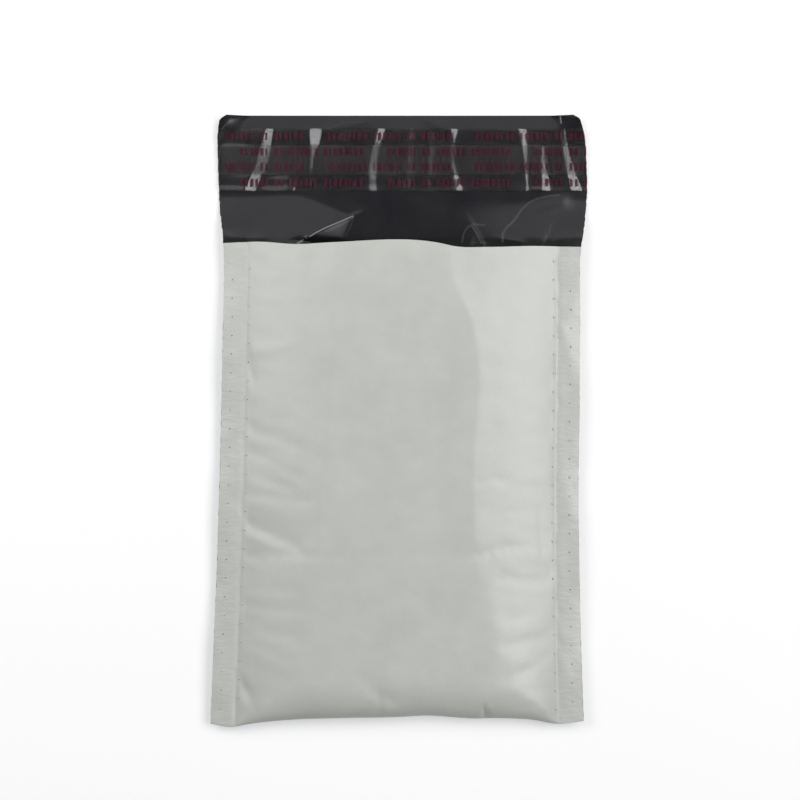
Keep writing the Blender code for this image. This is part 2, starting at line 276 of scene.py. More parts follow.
# %% [markdown]
# ## Puckers
#
# Where the film is gathered into a weld it puckers in short ribs that run away from the seam.
# Noise that is stretched across the pouch and squeezed along it gives such ribs, and its
# strength falls off with the distance from the seam.

# %% Stretched noise
def stretched_noise(x, y, size_x, size_y, seed):
    """Smooth noise from -1 to 1, with its own grain size along x and along y."""
    flat = zip((x / size_x).ravel().tolist(), (y / size_y).ravel().tolist())
    values = [noise.noise(Vector((a, b, seed))) for a, b in flat]
    return np.array(values).reshape(np.shape(x))


# %% The creases of the front panel
FRONT_CREASES = (
    ((-0.0485, -0.0320), (-0.0330, -0.0388), -0.00060, 0.0040, 0.0017),
    ((-0.0480, -0.0413), (-0.0250, -0.0413), -0.00022, 0.0010, 0.0026),
    ((-0.0460, 0.0218), (-0.0335, 0.0236), 0.00020, 0.0010, 0.0022),
    ((-0.0485, 0.0205), (-0.0462, 0.0140), -0.00030, 0.0012, 0.0016),
    ((-0.0470, -0.0020), (-0.0260, -0.0110), -0.00020, 0.0026, 0.0030),
    ((-0.0470, -0.0095), (-0.0310, -0.0175), -0.00026, 0.0026, 0.0024),
    ((-0.0475, -0.0170), (-0.0350, -0.0205), -0.00026, 0.0022, 0.0020),
    ((-0.0475, -0.0228), (-0.0300, -0.0250), -0.00020, 0.0018, 0.0014),
    ((-0.0480, -0.0520), (-0.0330, -0.0525), -0.00014, 0.0018, 0.0016),
    ((-0.0480, -0.0575), (-0.0300, -0.0590), -0.00018, 0.0022, 0.0014),
    ((-0.0485, -0.0660), (-0.0330, -0.0665), -0.00014, 0.0022, 0.0016),
    ((-0.0502, -0.0800), (-0.0472, -0.0838), -0.00045, 0.0012, 0.0012),
    ((0.0240, -0.0190), (0.0325, -0.0184), -0.00022, 0.0018, 0.0008),
    ((0.0290, -0.0290), (0.0365, -0.0282), -0.00014, 0.0016, 0.0008),
    ((0.0238, -0.0416), (0.0325, -0.0400), -0.00030, 0.0020, 0.0007),
    ((0.0320, -0.0388), (0.0452, -0.0398), -0.00024, 0.0016, 0.0009),
    ((0.0322, -0.0492), (0.0450, -0.0502), -0.00022, 0.0018, 0.0009),
    ((0.0436, -0.0400), (0.0430, -0.0305), -0.00016, 0.0012, 0.0018),
    ((0.0340, -0.0620), (0.0400, -0.0600), -0.00022, 0.0022, 0.0016),
    ((0.0330, -0.0700), (0.0430, -0.0672), -0.00026, 0.0024, 0.0016),
    ((0.0330, -0.0800), (0.0440, -0.0745), -0.00030, 0.0026, 0.0018),
    ((-0.0450, -0.0412), (0.0230, -0.0412), -0.00008, 0.0006, 0.0010),
    ((-0.0120, -0.0800), (-0.0078, -0.0812), -0.00035, 0.0022, 0.0012),
    ((-0.0082, -0.0842), (-0.0030, -0.0866), -0.00070, 0.0026, 0.0010),
    ((-0.0064, -0.0870), (-0.0060, -0.0925), -0.00045, 0.0008, 0.0012),
    ((-0.0490, -0.0835), (-0.0450, -0.0895), -0.00025, 0.0014, 0.0014),
)
NOTCH_EDGE = ((0.0307, -0.0935), (0.0256, -0.0870))
NOTCH_SIDE = ((0.0246, -0.0935), (0.0254, -0.0868))
NOTCH_FALL, NOTCH_WALL = 0.95, 2.6
print("creases on the front panel:", len(FRONT_CREASES))


def notch(x, y):
    """The small triangular facet that the bottom fold has tucked in, right of the middle."""
    facet = NOTCH_FALL * beside(x, y, NOTCH_EDGE[::-1])
    wall = NOTCH_WALL * beside(x, y, NOTCH_SIDE)
    return -np.clip(np.minimum(facet, wall), 0.0, None)


# %% The relief of the front panel
SEAM_PUCKER = 0.00029
SEAM_PUCKER_REACH = 0.012
PUCKER_SLANT = 0.28
RIGHT_SLANT_SHARE = 0.4
RIB_GRAIN, THIN_RIB_GRAIN = (0.019, 0.0052), (0.009, 0.0022)
THIN_RIB_SHARE = 0.45
LOOSE_RELIEF = 0.00012
LOOSE_GRAIN = (0.019, 0.012)
FINE_RELIEF = 0.00007
FINE_GRAIN = (0.0050, 0.0028)
SEAM_RELIEF = 0.00022
SEAM_BLEND = 0.0006
LUMP_GRAIN, SMALL_LUMP_GRAIN = (0.0070, 0.0075), (0.0036, 0.0040)
SMALL_LUMP_SHARE = 0.7


def from_weld(u):
    return np.clip(WELD_LINE - np.abs(u), 0.0, None)


def front_relief(u, x, y):
    """The small heights of the front panel: its creases, its puckers and its loose places."""
    near_seam = np.exp(-from_weld(u) / SEAM_PUCKER_REACH)
    slanted = y + PUCKER_SLANT * np.where(x < 0, x, RIGHT_SLANT_SHARE * x)
    ribs = stretched_noise(x, slanted, *RIB_GRAIN, 3.1)
    ribs = ribs + THIN_RIB_SHARE * stretched_noise(x, slanted, *THIN_RIB_GRAIN, 7.7)
    loose = stretched_noise(x, y, *LOOSE_GRAIN, 1.3)
    fine = stretched_noise(x, y, *FINE_GRAIN, 5.9)
    relief = SEAM_PUCKER * near_seam * ribs + LOOSE_RELIEF * loose + FINE_RELIEF * fine
    return relief + creases(x, y, FRONT_CREASES) + notch(x, y)


def seam_relief(u, x, y):
    """The lumps of the welded strips."""
    on_seam = smooth((np.abs(u) - WELD_LINE) / SEAM_BLEND)
    small_lumps = SMALL_LUMP_SHARE * stretched_noise(x, y, *SMALL_LUMP_GRAIN, 6.6)
    lumps = small_lumps + stretched_noise(x, y, *LUMP_GRAIN, 2.2)
    return SEAM_RELIEF * on_seam * lumps


# %% [markdown]
# ## The flap
#
# The flap is loose film. It leaves the back panel at the mouth, comes down to the table, and
# lies there almost flat, a little raised under the release strip. Near the mouth it is crumpled
# into a few flat facets with sharp ridges between them, and its two outer corners curl up.

# %% The facets of the flap
ROOF_SOFTNESS = 0.00010
LEFT_TIP = (-0.0146, 0.0636)
LEFT_TOP_Y = 0.0709
LEFT_BROW = ((-0.0318, 0.0706), LEFT_TIP)
LEFT_FOOT = (LEFT_TIP, (-0.0176, 0.0563))
BOX_LEFT = ((0.0193, 0.0546), (0.0224, 0.0606))
BOX_TOP = ((0.0224, 0.0608), (0.0322, 0.0606))
BROAD_SIDES = (
    (((0.0322, 0.0540), (0.0322, 0.0600)), 0.20),
    (((0.0322, 0.0600), (0.0406, 0.0684)), 0.20),
    (((0.0406, 0.0684), (0.0492, 0.0710)), 0.16),
    (((0.0492, 0.0710), (0.0580, 0.0698)), 0.14),
)
BROAD_HEIGHT = 0.0021
BROAD_MIDDLE = 0.045
BROAD_FALL_X, BROAD_FALL_Y = 0.02, 0.115
BROW_SLOPE, FOOT_SLOPE, RAMP_SLOPE = 0.214, 0.235, 0.158
BOX_LEFT_SLOPE, BOX_TOP_SLOPE = 0.29, 0.17


def lower_of(first, *others):
    """The lowest of several planes, with the ridges between them a little rounded."""
    for other in others:
        first = (first + other - np.sqrt((first - other) ** 2 + ROOF_SOFTNESS**2)) / 2
    return first


def left_facets(x, y):
    """The ramp left of the middle: a broad face, and a small steep one beyond its ridge."""
    return lower_of(
        BROW_SLOPE * beside(x, y, LEFT_BROW),
        FOOT_SLOPE * beside(x, y, LEFT_FOOT),
        RAMP_SLOPE * (LEFT_TOP_Y - y),
    )


def right_facets(x, y):
    """The crumple at the right: a small box-like face and a broad one behind it."""
    box = lower_of(BOX_LEFT_SLOPE * beside(x, y, BOX_LEFT), BOX_TOP_SLOPE * beside(x, y, BOX_TOP))
    broad = lower_of(
        BROAD_HEIGHT - BROAD_FALL_X * (x - BROAD_MIDDLE) - BROAD_FALL_Y * (y - MOUTH_Y),
        *(slope * beside(x, y, line) for line, slope in BROAD_SIDES),
    )
    return np.maximum(box, broad)


def facets(x, y):
    return np.maximum(left_facets(x, y), right_facets(x, y))


# %% The level of the flap
SETTLE_LENGTH = 0.014
SETTLE_SHARE = 0.95
DROOP_LENGTH = 0.006
TUCK_LENGTH = 0.012
MARGIN_FALL = 0.085
STRIP_HUMP = 0.00045
STRIP_HUMP_LENGTH = 0.022
FLAP_FOLDS = (
    ((-0.0292, 0.0556), (-0.0225, 0.0553), -0.0012, 0.0008, 0.0008),
    ((-0.0328, 0.0548), (-0.0300, 0.0562), 0.00022, 0.0005, 0.0005),
    ((-0.0283, 0.0572), (-0.0150, 0.0636), 0.00024, 0.0005, 0.0005),
    ((0.0228, 0.0604), (0.0258, 0.0548), 0.00020, 0.0005, 0.0007),
    ((0.0322, 0.0545), (0.0322, 0.0596), 0.00012, 0.0006, 0.0010),
    ((0.0468, 0.0608), (0.0455, 0.0550), 0.00022, 0.0005, 0.0012),
    ((0.0340, 0.0560), (0.0362, 0.0556), 0.00030, 0.0010, 0.0010),
    ((0.0440, 0.0664), (0.0500, 0.0682), 0.00026, 0.0018, 0.0030),
    ((-0.0222, 0.0908), (-0.0110, 0.0932), 0.00016, 0.0014, 0.0020),
    ((0.0090, 0.0934), (0.0143, 0.0908), 0.00014, 0.0014, 0.0020),
    ((0.0498, 0.0948), (0.0504, 0.0924), 0.00024, 0.0007, 0.0010),
    ((-0.0528, 0.0944), (-0.0556, 0.0908), 0.00012, 0.0008, 0.0008),
)
RIPPLE = 0.00012
RIPPLE_GRAIN, FINE_RIPPLE_GRAIN = (0.013, 0.018), (0.006, 0.008)
FINE_RIPPLE_SHARE = 0.3
RIPPLE_BLEND = 0.002
UNDER_STRIP_CALM = 0.65
CURL = 0.0022
CURL_REACH = 0.0080


def crumple(x, y, ground):
    """How far the flap's facets and folds stand over the ground. They run on under the lip."""
    beyond = np.maximum(y, MOUTH_Y)
    tucked = smooth(1 - (beyond - y) / TUCK_LENGTH)
    above = tucked * facets(x, beyond) - ground
    risen = (above + np.sqrt(above**2 + ROOF_SOFTNESS**2)) / 2
    return risen + tucked * creases(x, beyond, FLAP_FOLDS)


def flap_level(u, x, along):
    """The height of the flap's film at a distance along it from the mouth."""
    y = MOUTH_Y + along
    droop = (SEAM_LEVEL - seam_level(u, y)) * (1 - smooth(along / DROOP_LENGTH))
    hinge = SEAM_LEVEL - droop - WELD_SPREAD
    hinge = hinge - (SEAM_LEVEL - WELD_SPREAD - BACK_LEVEL) * fill(u, y)
    settled = 1 - SETTLE_SHARE * smooth(along / SETTLE_LENGTH)
    level = BACK_LEVEL + (hinge - BACK_LEVEL) * settled
    level = level + crumple(x, y, level) - MARGIN_FALL * np.clip(y - LINER_HIGH.y, 0.0, None)
    level = level + STRIP_HUMP * smooth(1 - (LINER_HIGH.y - y) / STRIP_HUMP_LENGTH)
    corner = np.hypot(HALF_WIDTH - np.abs(u), FLAP_LENGTH - along)
    level = level + CURL * np.clip(1 - corner / CURL_REACH, 0.0, None) ** 1.5
    fine = FINE_RIPPLE_SHARE * stretched_noise(x, y, *FINE_RIPPLE_GRAIN, 4.4)
    ripple = stretched_noise(x, y, *RIPPLE_GRAIN, 9.2) + fine
    loose = 1 - UNDER_STRIP_CALM * smooth((y - LINER_LOW.y) / RIPPLE_BLEND)
    return level + RIPPLE * (1 + ripple) * loose * smooth(along / RIPPLE_BLEND)


# %% [markdown]
# ## One function for the whole web
#
# Along the web, v counts its legs: 0 to 1 down the front, 1 to 2 round the bottom fold, 2 to 3
# up the back, and 3 to 4 along the flap. The bottom fold is a half ellipse, so that it is round
# over the padding and tight at the seams.

# %% Where each point of the web goes
FOLD_ROUNDNESS = 2.4
MOUTH_SAG = 0.0012
MOUTH_SAG_LENGTH = 0.009
RELIEF_RISE = 6


def web_point(u, v, inset=0.0):
    """Places of the web's points, or of a web that lies inside it by the inset."""
    leg = np.minimum(v.astype(int), 3)
    share = v - leg
    bottom = curve_through(BOTTOM_EDGE, u) + 2 * inset
    setback = LINING_SETBACK if inset else 0.0
    mouth = np.where(leg >= 2, MOUTH_Y - setback, curve_through(MOUTH_EDGE, u) - setback)
    guess_y = np.select(
        [leg == 0, leg == 1, leg == 2],
        [mouth + (bottom - mouth) * share, bottom, bottom + (mouth - bottom) * share],
        MOUTH_Y,
    )
    full = fill(u, guess_y)
    front = WELD_SPREAD + (FRONT_LEVEL - SEAM_LEVEL - WELD_SPREAD) * full - inset
    back = WELD_SPREAD + (SEAM_LEVEL - BACK_LEVEL - WELD_SPREAD) * full - inset
    front, back = np.maximum(front, LEAST_GAP), np.maximum(back, LEAST_GAP)
    fold = FOLD_ROUNDNESS * np.sqrt(front * back)
    turn = math.pi * share
    y = np.select(
        [leg == 0, leg == 1, leg == 2],
        [
            mouth + (bottom + fold - mouth) * share,
            bottom + fold * (1 - np.sin(turn)),
            bottom + fold + (mouth - bottom - fold) * share,
        ],
        MOUTH_Y + FLAP_LENGTH * share,
    )
    x = across(u, y)
    seam = seam_level(u, y)
    lift = np.select(
        [leg == 0, leg == 1],
        [front, np.cos(turn) * np.where(turn < math.pi / 2, front, back)],
        -back,
    )
    z = seam + lift - groove(u, y) * (leg < 2)
    upper = np.clip(lift / front, 0.0, 1.0)
    sag = MOUTH_SAG * full * np.exp(-np.clip(mouth - y, 0.0, None) / MOUTH_SAG_LENGTH)
    relief = smooth(RELIEF_RISE * full) * front_relief(u, x, y) + seam_relief(u, x, y)
    z = z + upper * (relief - sag)
    z = z + (leg == 2) * (full > 0) * crumple(x, y, z - inset)
    flap = leg == 3
    if flap.any():
        z[flap] = flap_level(u[flap], x[flap], FLAP_LENGTH * share[flap])
    return np.stack([x, y, np.maximum(z, BACK_LEVEL)], axis=-1)


# %% [markdown]
# ## From a flat grid to a bent sheet
#
# Blender's grid primitive gives the flat sheet with tidy square faces. Its points are read back
# to find their column and row, the shape function moves them all at once, and a Solidify
# modifier, which is then applied, gives the sheet its thickness.

# %% Bend a flat grid
def collection(name):
    made = bpy.data.collections.new(name)
    bpy.context.scene.collection.children.link(made)
    return made


envelope = collection("envelope")


def mesh_object(name, bm):
    """A smooth-shaded object of the envelope, from a bmesh that isn't needed any more."""
    mesh = bpy.data.meshes.new(name)
    bm.to_mesh(mesh)
    bm.free()
    mesh.shade_smooth()
    made = bpy.data.objects.new(name, mesh)
    envelope.objects.link(made)
    return made


def vertex_places(piece):
    """The places of a piece's vertices, one row of x, y and z for each."""
    places = np.empty(3 * len(piece.data.vertices))
    piece.data.vertices.foreach_get("co", places)
    return places.reshape(-1, 3)


def move_vertices(piece, places):
    piece.data.vertices.foreach_set("co", places.ravel())
    piece.data.update()


def bent_sheet(name, columns, rows, place):
    """A grid primitive with one vertex for each column and row, moved to place(u, v)."""
    bm = bmesh.new()
    right, up = len(columns) - 1, len(rows) - 1
    bmesh.ops.create_grid(bm, x_segments=right, y_segments=up, size=0.5)
    made = mesh_object(name, bm)
    flat = vertex_places(made)
    column = np.rint((flat[:, 0] + 0.5) * right).astype(int)
    row = np.rint((flat[:, 1] + 0.5) * up).astype(int)
    move_vertices(made, place(np.asarray(columns)[column], np.asarray(rows)[row]))
    return made


# %% Thicken a sheet and give it its finish
RIM_ANGLE = math.radians(50)


def apply_modifiers(piece):
    graph = bpy.context.evaluated_depsgraph_get()
    mesh = bpy.data.meshes.new_from_object(piece.evaluated_get(graph))
    piece.modifiers.clear()
    piece.data = mesh
    mesh.shade_smooth()
    mesh.set_sharp_from_angle(angle=RIM_ANGLE)


def thicken(piece, thickness, second_material=0):
    """Gives a sheet its thickness. The new side and the rim may take another of its materials."""
    solidify = piece.modifiers.new("thickness", "SOLIDIFY")
    solidify.thickness = thickness
    solidify.offset = 0.0
    solidify.material_offset = second_material
    solidify.material_offset_rim = second_material
    apply_modifiers(piece)


def finish_piece(piece, slot, *materials):
    """Gives a piece its materials, and lets it ride on the one body. The slot is not used."""
    for finish in materials:
        piece.data.materials.append(finish)
    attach(piece, "root")


# %% [markdown]
# ## Shared effects
#
# Film is never one even colour. Two effects are used by several of the finishes, so each is a
# node group: one gives a slow blotching, the other the height of fine creases for a Bump node.

# %% The node groups that the finishes share
def new_group(name, inputs, outputs):
    group = bpy.data.node_groups.new(name, "ShaderNodeTree")
    for label, kind, value in inputs:
        socket = group.interface.new_socket(label, in_out="INPUT", socket_type=kind)
        socket.default_value = value
    for label, kind in outputs:
        group.interface.new_socket(label, in_out="OUTPUT", socket_type=kind)
    start = group.nodes.new("NodeGroupInput")
    end = group.nodes.new("NodeGroupOutput")
    return group, start, end


def add_node(nodes, kind, values=None, **settings):
    """Adds a shader node, with its settings and then the values of its sockets."""
    node = nodes.new("ShaderNode" + kind)
    for name, setting in settings.items():
        setattr(node, name, setting)
    for socket, value in (values or {}).items():
        node.inputs[socket].default_value = value
    return node


def link_up(links, *rows):
    """Links nodes. Each row is a node, its output, the next node and its input."""
    for node, output, onward, socket in rows:
        links.new(node.outputs[output], onward.inputs[socket])


def blotch_group():
    """Mixes two near colours by slow noise, as film varies from place to place."""
    group, start, end = new_group(
        "film blotches",
        [
            ("Colour A", "NodeSocketColor", (0.5, 0.5, 0.5, 1)),
            ("Colour B", "NodeSocketColor", (0.5, 0.5, 0.5, 1)),
            ("Scale", "NodeSocketFloat", 60.0),
        ],
        [("Colour", "NodeSocketColor"), ("Mask", "NodeSocketFloat")],
    )
    nodes, links = group.nodes, group.links
    place = add_node(nodes, "TexCoord")
    cloud = add_node(nodes, "TexNoise", {"Detail": 6.0, "Roughness": 0.62})
    spread = add_node(nodes, "MapRange", {"From Min": 0.32, "From Max": 0.68})
    mix = add_node(nodes, "Mix", data_type="RGBA")
    link_up(
        links,
        (place, "Object", cloud, "Vector"), (start, "Scale", cloud, "Scale"),
        (cloud, "Fac", spread, "Value"), (spread, "Result", mix, "Factor"),
        (start, "Colour A", mix, "A"), (start, "Colour B", mix, "B"),
        (mix, "Result", end, "Colour"), (spread, "Result", end, "Mask"),
    )
    return group


def crinkle_group():
    """The height of fine creases: a grain, and ribs where the Ribs mask is on."""
    group, start, end = new_group(
        "film crinkle",
        [
            ("Grain Scale", "NodeSocketFloat", 900.0),
            ("Grain", "NodeSocketFloat", 0.3),
            ("Ribs", "NodeSocketFloat", 0.0),
        ],
        [("Height", "NodeSocketFloat")],
    )
    nodes, links = group.nodes, group.links
    place = add_node(nodes, "TexCoord")
    grain = add_node(nodes, "TexNoise", {"Detail": 3.0})
    squeeze = add_node(nodes, "Mapping", {"Scale": (260.0, 820.0, 300.0)})
    ribs = add_node(nodes, "TexNoise", {"Scale": 1.0, "Detail": 3.0, "Distortion": 0.6})
    grain_part = add_node(nodes, "Math", operation="MULTIPLY")
    ribs_part = add_node(nodes, "Math", operation="MULTIPLY")
    total = add_node(nodes, "Math", operation="ADD")
    link_up(
        links,
        (place, "Object", grain, "Vector"), (start, "Grain Scale", grain, "Scale"),
        (place, "Object", squeeze, "Vector"), (squeeze, "Vector", ribs, "Vector"),
        (grain, "Fac", grain_part, 0), (start, "Grain", grain_part, 1),
        (ribs, "Fac", ribs_part, 0), (start, "Ribs", ribs_part, 1),
        (grain_part, "Value", total, 0), (ribs_part, "Value", total, 1),
        (total, "Value", end, "Height"),
    )
    return group


BLOTCHES = blotch_group()
CRINKLE = crinkle_group()
print("node groups:", BLOTCHES.name, "and", CRINKLE.name)

# %% [markdown]
# ## The finishes
#
# Both sides of the film are polyethylene with a satin skin, so they share one recipe and differ
# in colour and gloss. The seams carry fine ribs, and a vertex attribute named seam tells the
# material where they are. Another one, fold, says how far the nearest sharp fold is, and there
# the dark film gets a painted highlight: a fine pale line along the fold.

# %% A film finish
# The colour and strength of the highlight painted along each fold of the flap.
FOLD_HIGHLIGHT_COLOUR = (0.24, 0.23, 0.235)
FOLD_HIGHLIGHT_STRENGTH = 0.85
FOLD_LINE_CORE = 0.00006
FOLD_LINE_EDGE = 0.00030
GLOSS_SWING = 0.03


def new_material(name):
    made = bpy.data.materials.new(name)
    made.use_nodes = True
    return made, made.node_tree.nodes, made.node_tree.links


def painted_fold_highlights(nodes, links, colour):
    """Paints a highlight: a fine pale line along each marked fold, in place of the light that the sharp
    folds catch.
    """
    fold = add_node(nodes, "Attribute", attribute_name="fold")
    away = add_node(nodes, "VectorMath", operation="LENGTH")
    line = add_node(nodes, "MapRange", {
        "From Min": FOLD_LINE_CORE, "From Max": FOLD_LINE_EDGE, "To Min": FOLD_HIGHLIGHT_STRENGTH,
        "To Max": 0.0,
    }, interpolation_type="SMOOTHSTEP")
    mix = add_node(nodes, "Mix", {"B": (*FOLD_HIGHLIGHT_COLOUR, 1)}, data_type="RGBA")
    link_up(
        links,
        (fold, "Vector", away, 0), (away, "Value", line, "Value"),
        (line, "Result", mix, "Factor"),
    )
    links.new(colour, mix.inputs["A"])
    return mix.outputs["Result"]


def film_finish(name, colour_a, colour_b, roughness, grain, bump, ribs=0.0, folds=False):
    """A satin film: blotched colour, a little unevenness in its gloss, and fine crinkles. If folds is
    set, it also gets painted highlights along the marked folds.
    """
    made, nodes, links = new_material(name)
    shader = nodes["Principled BSDF"]
    blotches = add_node(nodes, "Group", {
        "Colour A": (*colour_a, 1), "Colour B": (*colour_b, 1), "Scale": 85.0,
    }, node_tree=BLOTCHES)
    gloss = add_node(nodes, "MapRange", {
        "To Min": roughness - GLOSS_SWING, "To Max": roughness + GLOSS_SWING,
    })
    crinkle = add_node(nodes, "Group", {"Grain": grain}, node_tree=CRINKLE)
    seam = add_node(nodes, "Attribute", attribute_name="seam")
    strength = add_node(nodes, "Math", {1: ribs}, operation="MULTIPLY")
    height = add_node(nodes, "Bump", {"Strength": bump, "Distance": 0.0002})
    colour = blotches.outputs["Colour"]
    # Painted highlights along the marked folds.
    if folds:
        colour = painted_fold_highlights(nodes, links, colour)
    links.new(colour, shader.inputs["Base Color"])
    link_up(
        links,
        (blotches, "Mask", gloss, "Value"), (gloss, "Result", shader, "Roughness"),
        (seam, "Fac", strength, 0), (strength, "Value", crinkle, "Ribs"),
        (crinkle, "Height", height, "Height"), (height, "Normal", shader, "Normal"),
    )
    return made


pale_film = film_finish(
    "pale film", (0.520, 0.541, 0.500), (0.560, 0.576, 0.538),
    roughness=0.36, grain=0.30, bump=0.42, ribs=2.1,
)
# The dark film gets painted highlights along the flap's folds.
dark_film = film_finish(
    "dark film", (0.009, 0.008, 0.011), (0.013, 0.012, 0.015),
    roughness=0.22, grain=0.20, bump=0.30, folds=True,
)

# %% [markdown]
# ## The outer web
#
# One sheet makes the front, the fold, the back and the flap. Its rows are close together where
# it is creased and wide apart on the flat back. The first material is the side that faces into
# the pouch, and Solidify gives the other side the second one.

# %% Make the outer web
def even(start, end, count):
    return list(np.linspace(start, end, count + 1)[1:])


def spread(stretches):
    """Places along a line, from (start, end, spacing) stretches that follow each other."""
    places = [stretches[0][0]]
    for start, end, spacing in stretches:
        places += even(start, end, max(1, round((end - start) / spacing)))
    return np.array(places)


columns = spread((
    (-HALF_WIDTH, -0.0520, 0.00070), (-0.0520, -0.0485, 0.00040), (-0.0485, -0.0120, 0.00056),
    (-0.0120, 0.0185, 0.00075), (0.0185, 0.0485, 0.00052), (0.0485, 0.0520, 0.00040),
    (0.0520, HALF_WIDTH, 0.00070),
))
FRONT_ROWS, FOLD_ROWS = 106, 22
back_rows = spread(((0.0, 0.6, 0.06), (0.6, 0.9, 0.04), (0.9, 1.0, 0.011)))
flap_rows = spread((
    (0.0, 0.0175, 0.00038), (0.0175, 0.0345, 0.00070), (0.0345, FLAP_LENGTH, 0.00048),
))
rows = [0.0] + even(0, 1, FRONT_ROWS) + even(1, 2, FOLD_ROWS)
rows += list(2 + back_rows[1:]) + list(3 + flap_rows[1:] / FLAP_LENGTH)
print("web grid:", len(columns), "by", len(rows))
film = bent_sheet("mailer_film", columns, rows, web_point)


# %% Mark its seams
SEAM_MARK_WIDTH = GROOVE_INSET + 0.0004


def plan_places(piece):
    return vertex_places(piece).T[:2]


def mark_seams(piece):
    """Writes the seam attribute: 1 on the welded strips below the mouth, 0 elsewhere."""
    x, y = plan_places(piece)
    left, right = edges(y)
    inward = np.minimum(x - left, right - x)
    strip = smooth((SEAM_MARK_WIDTH - inward) / SEAM_BLEND) * (y < MOUTH_Y)
    attribute = piece.data.attributes.new("seam", "FLOAT", "POINT")
    attribute.data.foreach_set("value", strip)


# %% Mark its sharp folds, where the painted highlights go
FOLD_LINES = (
    # how strong and how wide the painted highlight line is, then its points
    (0.90, 1.0, (-0.0332, 0.0546), (-0.0318, 0.0552), (-0.0304, 0.0561)),
    (1.00, 1.0, (-0.0283, 0.0571), (-0.0262, 0.0584), (-0.0230, 0.0601), (-0.0190, 0.0618),
     (-0.0150, 0.0636)),
    (0.16, 1.8, (-0.0146, 0.0636), (-0.0153, 0.0612), (-0.0170, 0.0575)),
    (0.20, 2.6, (0.0192, 0.0552), (0.0198, 0.0584), (0.0211, 0.0604), (0.0229, 0.0612),
     (0.0262, 0.0608)),
    (0.26, 1.8, (0.0222, 0.0606), (0.0238, 0.0582), (0.0252, 0.0552)),
    (0.22, 3.0, (0.0319, 0.0550), (0.0319, 0.0580), (0.0330, 0.0599), (0.0353, 0.0620),
     (0.0377, 0.0655)),
    (0.20, 3.0, (0.0377, 0.0655), (0.0400, 0.0678), (0.0424, 0.0690), (0.0462, 0.0699),
     (0.0496, 0.0703)),
    (0.20, 1.4, (0.0469, 0.0612), (0.0464, 0.0590), (0.0455, 0.0562)),
    (0.30, 1.0, (-0.0526, 0.0943), (-0.0540, 0.0926), (-0.0557, 0.0908)),
    (0.80, 1.0, (0.0498, 0.0951), (0.0500, 0.0940), (0.0502, 0.0926)),
    (0.10, 1.8, (-0.0228, 0.0907), (-0.0200, 0.0922), (-0.0165, 0.0932), (-0.0115, 0.0930)),
    (0.10, 1.8, (0.0088, 0.0906), (0.0098, 0.0925), (0.0125, 0.0936), (0.0150, 0.0935)),
)
FAR_FROM_FOLD = 0.009
FOLD_MARK_REACH = 0.0018
FOLD_FAINTNESS = 0.00030


def mark_folds(piece):
    """Writes the offset from the nearest fold, so that a shader can draw the fold's painted highlight
    finer than the grid.
    """
    x, y = plan_places(piece)
    offset = np.full((len(x), 3), FAR_FROM_FOLD)
    nearest = np.full(len(x), FOLD_MARK_REACH)
    for strength, width, *points in FOLD_LINES:
        for (ax, ay), (bx, by) in zip(points, points[1:]):
            length = math.hypot(bx - ax, by - ay)
            run_x, run_y = (bx - ax) / length, (by - ay) / length
            along = np.clip((x - ax) * run_x + (y - ay) * run_y, 0.0, length)
            away_x, away_y = x - ax - along * run_x, y - ay - along * run_y
            away = np.hypot(away_x, away_y)
            closer = (away < nearest) & (y > MOUTH_Y)
            nearest[closer] = away[closer]
            offset[closer, 0], offset[closer, 1] = away_x[closer] / width, away_y[closer] / width
            offset[closer, 2] = (1 - strength) * FOLD_FAINTNESS
    attribute = piece.data.attributes.new("fold", "FLOAT_VECTOR", "POINT")
    attribute.data.foreach_set("vector", offset.ravel())


finish_piece(film, "pale_film", dark_film, pale_film)
thicken(film, FILM, second_material=1)
mark_seams(film)
mark_folds(film)
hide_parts("outer_film")
print("mailer film:", len(film.data.polygons), "faces")

# %% [markdown]
# ## The bubble lining
#
# Bubble film is a flat sheet with a sheet of domes sealed to it. The domes stand in staggered
# rows and point into the pocket. They are part of the height of one fine grid: each point asks
# how far it is from the nearest dome's centre, and rises by a round profile.

# %% Make the bubble lining
BUBBLE_WIDTH = 0.0098
BUBBLE_HEIGHT = 0.0024
BUBBLE_PITCH = 0.0120
BUBBLE_EDGE = 0.021
FIRST_BUBBLES = 0.007
FOLD_MARGIN, FOLD_MARGIN_BLEND = 0.08, 0.03
LINING_INSET = 0.0006
LINING_EDGE = 0.0025
LINING_COLUMNS, LINING_ROWS, LINING_FOLD_ROWS = 101, 130, 20
LINING_END = 2.999
LINING_THICKNESS = 0.00012


def dome(u, down):
    """The height of the bubbles over a sheet, by the place across and along it."""
    row_pitch = BUBBLE_PITCH * math.sqrt(3) / 2
    best = np.full(np.shape(u), np.inf)
    row = np.rint(down / row_pitch)
    for step in (-1, 0, 1):
        stagger = 0.5 * ((row + step) % 2)
        near_u = (np.rint(u / BUBBLE_PITCH - stagger) + stagger) * BUBBLE_PITCH
        inside = np.abs(near_u) < WELD_LINE - BUBBLE_EDGE
        away = np.hypot(u - near_u, down - (row + step) * row_pitch)
        best = np.minimum(best, np.where(inside, away, np.inf))
    share = np.clip(2 * best / BUBBLE_WIDTH, 0.0, 1.0)
    return BUBBLE_HEIGHT * (1 - share**3) ** 0.6


def lining_point(u, v):
    """The web inside the pouch: 0 to 1 down the front, 1 to 2 round the fold, 2 to 3 up."""
    points = web_point(u, v, inset=LINING_INSET)
    leg = np.minimum(v.astype(int), 2)
    near_fold = np.where(leg == 0, 1 - (v - leg), v - leg)
    flat = np.where(leg == 1, 0.0, smooth((near_fold - FOLD_MARGIN) / FOLD_MARGIN_BLEND))
    height = dome(u, MOUTH_Y - points[..., 1] - FIRST_BUBBLES) * flat
    side = np.where(leg == 0, -1.0, 1.0)
    points[..., 2] += side * height
    return points


